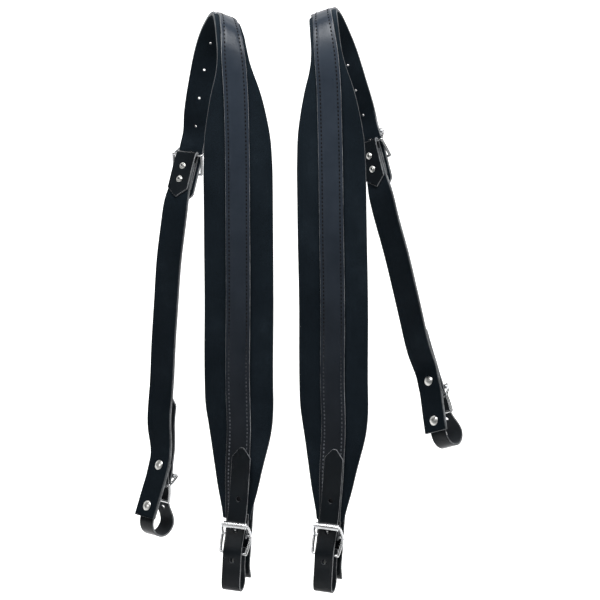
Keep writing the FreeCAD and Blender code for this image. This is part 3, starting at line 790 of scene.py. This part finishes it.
# rows: x, y, z, turn about the vertical, roll of the line across the strap
LEFT_ARCH = [
    (10.0, -39.7, -378.0, 12.0, 0.0),
    (10.5, -39.7, -300.0, 9.0, 0.0),
    (11.0, -39.7, -210.0, 6.0, 0.0),
    (11.1, -39.7, -140.0, 3.0, 0.0),
    (10.4, -39.7, -90.0, -1.0, 0.0),
    (9.2, -39.6, -60.0, -5.0, 3.0),
    (7.6, -38.3, -38.0, -9.0, 8.0),
    (5.8, -34.0, -19.5, -13.0, 13.0),
    (3.5, -25.0, -5.0, -17.0, 17.0),
    (1.4, -12.5, 2.3, -19.0, 19.0),
    (-1.2, 0.0, 4.4, -20.0, 20.0),
    (-5.2, 13.5, 2.4, -20.0, 18.0),
    (-10.8, 27.0, -5.0, -16.0, 12.0),
    (-16.8, 38.0, -17.5, -10.0, 6.0),
    (-22.4, 46.5, -36.0, -4.0, 2.0),
    (-28.2, 53.0, -63.0, 4.0, 0.0),
    (-33.4, 58.5, -92.0, 14.0, 0.0),
]
LEFT_BACK = [
    (-57.5, 37.5, -202.0, 26.0, 0.0),
    (-63.0, 43.0, -241.0, 27.0, 0.0),
    (-67.3, 53.0, -287.0, 28.0, 0.0),
    (-71.6, 63.0, -338.0, 28.0, 0.0),
    (-75.0, 72.5, -385.0, 29.0, 0.0),
    (-78.0, 79.5, -425.0, 30.0, 0.0),
]
RIGHT_ARCH = [
    (105.3, -39.7, -378.0, 14.0, 0.0),
    (105.4, -39.7, -300.0, 11.0, 0.0),
    (104.5, -39.7, -210.0, 8.0, 0.0),
    (103.8, -39.7, -140.0, 7.0, 0.0),
    (102.8, -39.7, -90.0, 6.0, 0.0),
    (101.8, -39.6, -60.0, 6.0, -3.0),
    (100.2, -38.3, -38.0, 7.0, -7.0),
    (98.4, -34.0, -18.0, 8.0, -11.0),
    (96.9, -25.0, -2.0, 9.0, -15.0),
    (96.4, -12.5, 6.0, 10.0, -17.0),
    (97.2, 0.0, 8.3, 11.0, -18.0),
    (99.4, 13.5, 7.2, 11.0, -17.0),
    (103.4, 27.0, 2.6, 10.0, -14.0),
    (109.0, 41.0, -7.6, 9.0, -12.0),
    (116.0, 54.0, -23.0, 10.0, -12.0),
    (124.0, 66.0, -45.0, 13.0, -13.0),
    (132.4, 78.0, -71.0, 19.0, -15.0),
]
RIGHT_BACK = [
    (162.5, 76.0, -198.0, 34.0, -16.0),
    (172.6, 88.0, -234.0, 33.0, -12.0),
    (183.6, 109.0, -277.0, 32.0, -8.0),
    (194.0, 133.0, -320.0, 31.0, -8.0),
    (204.0, 154.0, -358.0, 30.0, -12.0),
]

build_side(
    "left",
    pad=Seat((5.3, -41.8, -516.0), 16.0, 0.0, 2.5, False),
    front=Seat((7.3, -42.4, -516.0), 16.0, 0.0, 4.2, False),
    rear=Seat((-43.6, 54.0, -135.6), 25.0, 22.0, 4.0, True),
    end=Seat((-78.4, 82.8, -486.7), 40.0, 21.0, 3.5, True),
    over_arch=LEFT_ARCH, down_back=LEFT_BACK,
    free_end=[(24.0, 9.3, 0.6), (38.0, 8.6, 2.2), (56.0, 8.6, 4.0), (96.0, 9.0, 5.5)])
build_side(
    "right",
    pad=Seat((100.0, -42.3, -518.0), 17.0, 0.0, 2.8, False),
    front=Seat((100.2, -42.4, -518.0), 17.0, 0.0, 4.4, False),
    rear=Seat((145.4, 84.0, -126.4), 35.0, 6.0, -20.0, True),
    end=Seat((221.7, 165.0, -408.4), 40.0, 12.0, -18.0, True),
    over_arch=RIGHT_ARCH, down_back=RIGHT_BACK,
    free_end=[(24.0, 9.6, 0.4), (38.0, 8.6, 1.6), (58.0, 7.6, 2.8), (96.0, 5.0, 3.2)])


# ------------------------------------------------------------------ hardware from the CAD

for name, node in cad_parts.items():
    if node.hide_render:
        continue
    finish = NICKEL if name.endswith("rivets") else CHROME
    if not node.data.materials:
        node.data.materials.append(finish)
    for slot in node.material_slots:
        slot.material = finish
    bpy.context.view_layer.objects.active = node
    node.select_set(True)
    bpy.ops.object.shade_smooth_by_angle(angle=math.radians(35))
    node.select_set(False)


# ------------------------------------------------------------------ floor and light

# Metres and watts in this part.
FLOOR_DROP = 0.45
FLOOR_FRONT = -6.0
FLOOR_BEND = 2.2
BEND_RADIUS = 1.2
WALL_TOP = 6.0
HALF_ROOM = 7.0
FLOOR_GLOW = 0.70
SKY_SEEN = 0.95
SKY_LIGHT = 0.13
# name, place, aimed at, size, power
LIGHTS = [
    ("top", (0.06, -0.42, 0.5), (0.08, 0, -0.15), (0.7, 0.4), 10),
    ("left_front", (-1.6, -1.6, 0.5), (0.05, 0, -0.2), (0.8, 1.2), 9),
    ("right_front", (1.7, -1.3, 0.6), (0.1, 0, -0.2), (0.8, 1.2), 6),
    ("wall_wash", (0.0, 1.2, 2.4), (0.0, 3.2, 0.2), (4.0, 1.0), 60),
]


def seen_as(tree, bright, other):
    """The strength the picture shows, where the light that falls on the straps is weaker."""
    path = tree.nodes.new("ShaderNodeLightPath")
    mix = tree.nodes.new("ShaderNodeMix")
    mix.data_type = "FLOAT"
    tree.links.new(path.outputs["Is Camera Ray"], mix.inputs[0])
    if isinstance(other, float):
        mix.inputs[2].default_value = other
    else:
        tree.links.new(other, mix.inputs[2])
    mix.inputs[3].default_value = bright
    return mix.outputs[0]


def backdrop():
    """A pale floor that curves up into a plain wall behind."""
    low = cad_box[0][2] - FLOOR_DROP
    profile = [(FLOOR_FRONT, low)]
    for k in range(13):
        a = math.radians(90 * k / 12)
        profile.append((FLOOR_BEND + BEND_RADIUS * math.sin(a),
                        low + BEND_RADIUS - BEND_RADIUS * math.cos(a)))
    profile.append((FLOOR_BEND + BEND_RADIUS, WALL_TOP))
    verts = [(x, y, z) for y, z in profile for x in (-HALF_ROOM, HALF_ROOM)]
    faces = [(2 * i, 2 * i + 1, 2 * i + 3, 2 * i + 2) for i in range(len(profile) - 1)]
    mesh = bpy.data.meshes.new("backdrop")
    mesh.from_pydata(verts, [], faces)
    mesh.polygons.foreach_set("use_smooth", [True] * len(faces))
    made = bpy.data.objects.new("backdrop", mesh)
    bpy.context.collection.objects.link(made)
    paint, tree, shader = new_material("pale_paint")
    shader.inputs["Base Color"].default_value = (0.93, 0.93, 0.93, 1)
    shader.inputs["Roughness"].default_value = 0.9
    shader.inputs["Emission Color"].default_value = (1, 1, 1, 1)
    place = tree.nodes.new("ShaderNodeTexCoord")
    parts = tree.nodes.new("ShaderNodeSeparateXYZ")
    tree.links.new(place.outputs["Object"], parts.inputs[0])
    glow = mapped(tree, parts.outputs["Y"], 0.0, FLOOR_GLOW, -0.4, 0.9)
    tree.links.new(seen_as(tree, FLOOR_GLOW, glow.outputs[0]),
                   shader.inputs["Emission Strength"])
    mesh.materials.append(paint)


def area_light(name, place, aim, size, power):
    data = bpy.data.lights.new(name, "AREA")
    data.shape = "RECTANGLE"
    data.size, data.size_y = size
    data.energy = power
    made = bpy.data.objects.new(name, data)
    made.location = place
    made.rotation_euler = (Vector(aim) - Vector(place)).to_track_quat("-Z", "Y").to_euler()
    bpy.context.collection.objects.link(made)


backdrop()
world = bpy.data.worlds.new("studio")
world.use_nodes = True
world.node_tree.nodes["Background"].inputs[0].default_value = (1, 1, 1, 1)
world.node_tree.links.new(seen_as(world.node_tree, SKY_SEEN, SKY_LIGHT),
                          world.node_tree.nodes["Background"].inputs[1])
bpy.context.scene.world = world
for light in LIGHTS:
    area_light(*light)
bpy.context.scene.view_settings.view_transform = "Standard"
